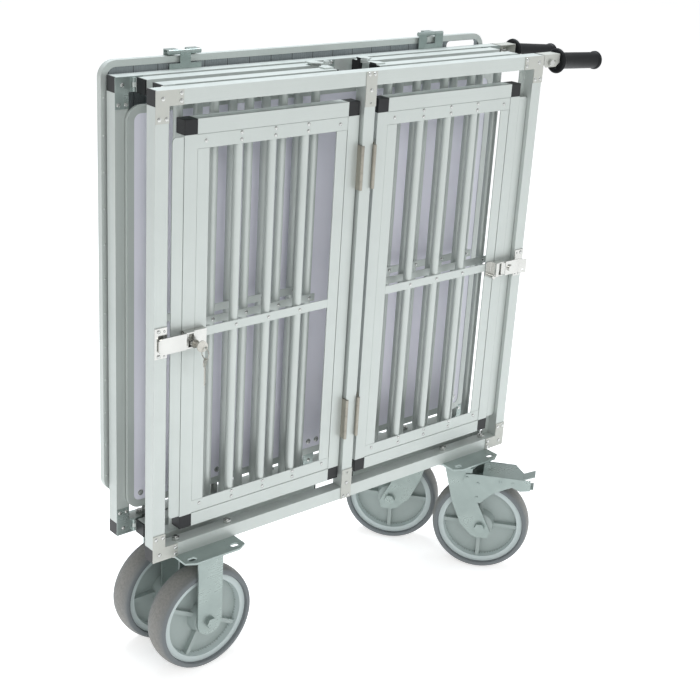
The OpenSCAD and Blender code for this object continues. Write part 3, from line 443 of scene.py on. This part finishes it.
def dress_leaf(leaf):
    """Rails with a black cap on each end, and round bars riveted between them."""
    bars = leaf + "_leaf_bars"
    near, far = LEAF_ENDS
    if leaf.startswith("left"):
        start, end = LEFT + near, LEFT + far
    else:
        start, end = RIGHT - far, RIGHT - near
    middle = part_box(bars)[0].y + RAIL_BEHIND_BARS
    slack = 0.01 * MM

    def is_cap(centre):
        in_tube = abs(centre.y - middle) < TUBE / 2 + slack
        in_rail = start - slack < centre.x < end + slack
        at_end = centre.x < start + LEAF_CAP or centre.x > end - LEAF_CAP
        return int(in_tube and in_rail and at_end)

    dressed(
        leaf + "_leaf_rails",
        [alu_x, black_cap],
        0.7 * MM,
        3,
        cuts=[(0, start + LEAF_CAP), (0, end - LEAF_CAP)],
        paint=is_cap,
    )
    dressed(bars, [alu_z, rivet_metal], 0, paint=rivet_paint(bars))


def dress_panels():
    dressed("floor_board", [lilac], 0.2 * MM)
    dressed("floor_trim", [alu_z], 0.5 * MM)
    dressed("floor_fittings", [bright], 0)
    dressed("top_trim", [alu_z], 0.8 * MM, 3)
    dressed("top_straps", [zinc], 0.3 * MM)
    dressed("top_board", [mat_dark], 0.2 * MM)


def dress_forks():
    for node in ("front_left_fork", "rear_left_fork", "front_right_plate", "rear_right_plate"):
        dressed(node, [zinc], 0.3 * MM)
    for end in ("front", "rear"):
        dressed(end + "_right_fork", [zinc], 0.3 * MM)
        dressed(end + "_right_brake", [zinc], 0.2 * MM)


def tyre_profile():
    """Round tread, rounded shoulders and a small bead line, as (radius, along)."""
    crown = 60 * MM
    half = 22 * MM
    tread = [
        (WHEEL_R - crown + math.sqrt(crown**2 - y**2), y)
        for y in [half * (i / 12 - 1) for i in range(25)]
    ]
    shoulder = [
        (97.9, 23.0),
        (96.4, 23.8),
        (94.6, 24.5),
        (92.4, 24.9),
        (90.2, 24.4),
        (89.3, 22.8),
        (89.0, 16.2),
    ]
    upper = [(r * MM, y * MM) for r, y in shoulder]
    lower = [(r, -y) for r, y in reversed(upper)]
    seat = [(84 * MM, 10 * MM), (84 * MM, -10 * MM)]
    return lower + tread + upper + seat + [lower[0]]


def wheel_place(node):
    """Centre of the wheel that a node belongs to, and its axle's direction."""
    low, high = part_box(node)
    joint = next(j for j in frame["joints"] if j["child"] == NODE_BODY[node])
    turn = Vector((0, 1, 0)).rotation_difference(Vector(joint["axis"])).to_matrix().to_4x4()
    return Matrix.Translation((low + high) / 2) @ turn


def highlight_ring_paint(hub):
    """Second material on the outer ring of a hub: the same plastic in a lighter grey, a painted highlight."""
    inward = wheel_place(hub).inverted()

    def is_highlight_ring(centre):
        spot = inward @ centre
        return int(math.hypot(spot.x, spot.z) > HUB_RING_R)

    return is_highlight_ring


def dress_wheel(wheel):
    hub = wheel + "_hub"
    # the hub's outer ring gets the lighter grey, a painted highlight
    dressed(hub, [hub_plastic, hub_rim_painted_highlight], 0.8 * MM, paint=highlight_ring_paint(hub))
    tyre = lathe(wheel + "_tyre_look", tyre_profile(), 128, tyre_grey)
    tyre.matrix_world = wheel_place(wheel + "_tyre")
    place(tyre, wheel + "_tyre")


def dress_grip(end):
    dressed(end + "_handle_channel", [satin], 0.4 * MM)
    dressed(end + "_handle_grip", [grip_rubber], 1.2 * MM, 3)


dress_gates()
for side in ("left", "right"):
    dress_door(side)
dress_keys()
for leaf in ("left_front", "left_rear", "right_front", "right_rear"):
    dress_leaf(leaf)
dress_panels()
dress_forks()
for wheel in ("front_left", "front_right", "rear_left", "rear_right"):
    dress_wheel(wheel)
for end in ("front", "rear"):
    dress_grip(end)

# ---------- stage, light and camera ----------


def studio():
    """A pale floor that glows a little, and an even pale surround."""
    bpy.ops.mesh.primitive_plane_add(size=30.0, location=(0, 0, cad_box[0].z))
    floor = bpy.context.object
    floor.name = "floor"
    g = Graph("pale_floor")
    speck = g.noise(3, 3.0, 0.5)
    pale = g.mix(speck, (0.86, 0.86, 0.86), (0.89, 0.89, 0.89))
    g.link(pale, g.shader.inputs["Emission Color"])
    g.finish(pale, g.remap(speck, 0, 1, 0.85, 0.95), Emission_Strength=0.6)
    floor.data.materials.append(g.material)

    world = bpy.data.worlds.new("studio")
    bpy.context.scene.world = world
    world.use_nodes = True
    background = world.node_tree.nodes["Background"]
    background.inputs["Color"].default_value = (0.975, 0.99, 1.0, 1.0)
    background.inputs["Strength"].default_value = 0.55


def area_light(name, place, size, watts, tint=(1, 1, 1)):
    """A soft rectangle of light, turned towards the middle of the cart."""
    data = bpy.data.lights.new(name, "AREA")
    data.shape = "RECTANGLE"
    data.size, data.size_y = size
    data.energy = watts
    data.color = tint
    lamp = bpy.data.objects.new(name, data)
    lamp.location = place
    towards = Vector((0, 0, 0.55)) - Vector(place)
    lamp.rotation_euler = towards.to_track_quat("-Z", "Y").to_euler()
    bpy.context.scene.collection.objects.link(lamp)


def camera():
    """The view from the front left, a little above, with a slight roll."""
    bearing = math.radians(41.66)
    down = math.radians(21.5)
    roll = math.radians(3.606)
    eye = at(-1139.08, -1764.69, 1242.91)
    data = bpy.data.cameras.new("view")
    data.sensor_width = 36
    data.lens = 70
    view = bpy.data.objects.new("view", data)
    forward = Vector(
        (math.sin(bearing) * math.cos(down), math.cos(bearing) * math.cos(down), -math.sin(down))
    )
    right = forward.cross(Vector((0, 0, 1))).normalized()
    up = right.cross(forward)
    side = right * math.cos(roll) + up * math.sin(roll)
    top = up * math.cos(roll) - right * math.sin(roll)
    turn = Matrix((side, top, -forward)).transposed().to_4x4()
    view.matrix_world = Matrix.Translation(eye) @ turn
    bpy.context.scene.collection.objects.link(view)
    bpy.context.scene.camera = view


studio()
area_light("key", (-1.6, -3.2, 2.9), (1.8, 1.4), 33)
area_light("fill", (3.0, -2.4, 1.8), (2.4, 2.0), 12, (0.95, 0.98, 1.0))
area_light("top", (0.3, 0.7, 3.5), (2.2, 2.2), 108, (0.90, 0.95, 1.0))
camera()

bpy.context.scene.view_settings.view_transform = "Standard"
